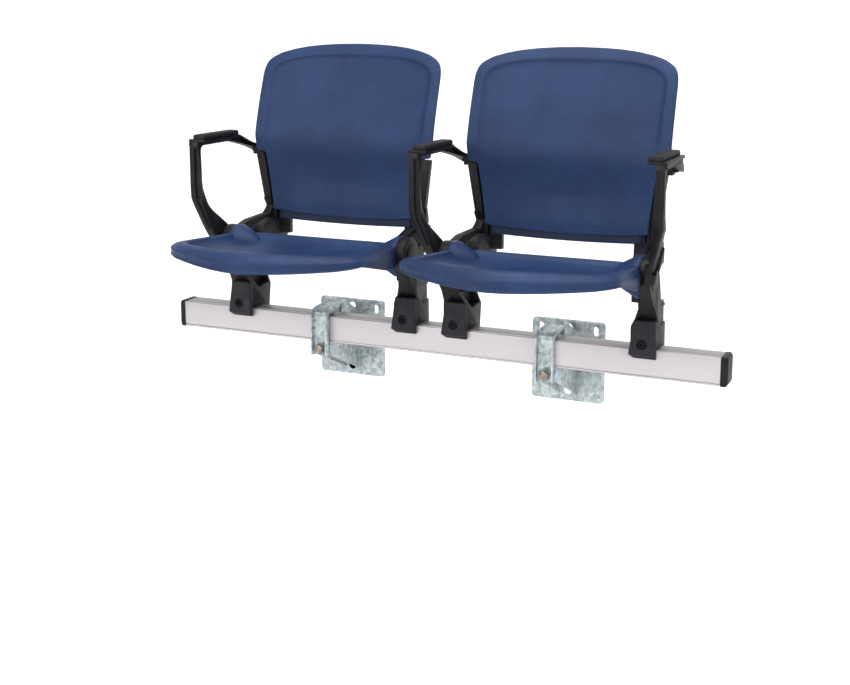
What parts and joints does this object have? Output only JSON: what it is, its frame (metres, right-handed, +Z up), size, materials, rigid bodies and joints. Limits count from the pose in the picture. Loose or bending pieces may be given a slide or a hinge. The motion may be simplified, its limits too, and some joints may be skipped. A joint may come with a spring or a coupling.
{
  "type": "stadium seat",
  "caption": "Beam-mounted tip-up stadium seats with moulded pans, backs and armrests, held off a riser wall by steel brackets and straps.",
  "frame": {"origin": "middle of the wall plane, halfway between the centres of the two bracket plates", "axes": "+X along the beam to the sitter's left, +Y back into the wall, +Z up"},
  "size_m": [1.2606, 0.5424, 0.757],
  "materials": {
    "beam_aluminium": "extruded, fine drawn lines, satin",
    "zinc_plated_steel": "dull zinc coating with pale mottling",
    "bolt_steel": "tarnished zinc-plated steel",
    "black_steel": "black oxide, satin",
    "black_plastic": "moulded nylon, fine grain",
    "clamp_plastic": "moulded nylon, smooth satin",
    "pad_plastic": "soft-touch moulded pad, grained",
    "blue_plastic": "blow-moulded polyethylene, leather grain"
  },
  "bodies": {
    "row": {"beam": "beam_aluminium", "end_cap_left": "black_plastic", "end_cap_right": "black_plastic", "bracket_1_wall_plate": "zinc_plated_steel", "bracket_1_arm": "zinc_plated_steel", "bracket_1_strap": "zinc_plated_steel", "bracket_1_strap_washer": "zinc_plated_steel", "bracket_1_strap_bolt": "bolt_steel", "bracket_1_strap_nut": "bolt_steel", "bracket_2_wall_plate": "zinc_plated_steel", "bracket_2_arm": "zinc_plated_steel", "bracket_2_strap": "zinc_plated_steel", "bracket_2_strap_washer": "zinc_plated_steel", "bracket_2_strap_bolt": "bolt_steel", "bracket_2_strap_nut": "bolt_steel", "seat_1_back": "blue_plastic", "seat_2_back": "blue_plastic", "seat_1_left_stanchion": "black_plastic", "seat_1_left_clamp_block": "clamp_plastic", "seat_1_left_clamp_bolt": "black_steel", "seat_1_left_pivot_pin": "black_steel", "seat_1_left_pivot_bush": "clamp_plastic", "seat_1_left_stop_pin": "black_steel", "seat_1_left_hub_cap": "black_plastic", "seat_1_left_upright": "black_plastic", "seat_1_left_arm_frame": "black_plastic", "seat_1_left_arm_pad": "pad_plastic", "seat_1_right_stanchion": "black_plastic", "seat_1_right_clamp_block": "clamp_plastic", "seat_1_right_clamp_bolt": "black_steel", "seat_1_right_pivot_pin": "black_steel", "seat_1_right_pivot_bush": "clamp_plastic", "seat_1_right_stop_pin": "black_steel", "seat_1_right_hub_cap": "black_plastic", "seat_1_right_upright": "black_plastic", "seat_2_left_stanchion": "black_plastic", "seat_2_left_clamp_block": "clamp_plastic", "seat_2_left_clamp_bolt": "black_steel", "seat_2_left_pivot_pin": "black_steel", "seat_2_left_pivot_bush": "clamp_plastic", "seat_2_left_stop_pin": "black_steel", "seat_2_left_hub_cap": "black_plastic", "seat_2_left_upright": "black_plastic", "seat_2_left_arm_frame": "black_plastic", "seat_2_left_arm_pad": "pad_plastic", "seat_2_right_stanchion": "black_plastic", "seat_2_right_clamp_block": "clamp_plastic", "seat_2_right_clamp_bolt": "black_steel", "seat_2_right_pivot_pin": "black_steel", "seat_2_right_pivot_bush": "clamp_plastic", "seat_2_right_stop_pin": "black_steel", "seat_2_right_hub_cap": "black_plastic", "seat_2_right_upright": "black_plastic", "seat_2_right_arm_frame": "black_plastic", "seat_2_right_arm_pad": "pad_plastic"},
    "pan_1": {"seat_1_pan": "blue_plastic"},
    "pan_2": {"seat_2_pan": "blue_plastic"}
  },
  "joints": [
    {"name": "seat_1_tip_up", "type": "hinge", "parent": "row", "child": "pan_1", "pos_m": [-0.26, -0.168, 0.23], "axis": [-1, 0, 0], "range_deg": [0, 75]},
    {"name": "seat_2_tip_up", "type": "hinge", "parent": "row", "child": "pan_2", "pos_m": [0.26, -0.168, 0.23], "axis": [-1, 0, 0], "range_deg": [0, 75]}
  ]
}
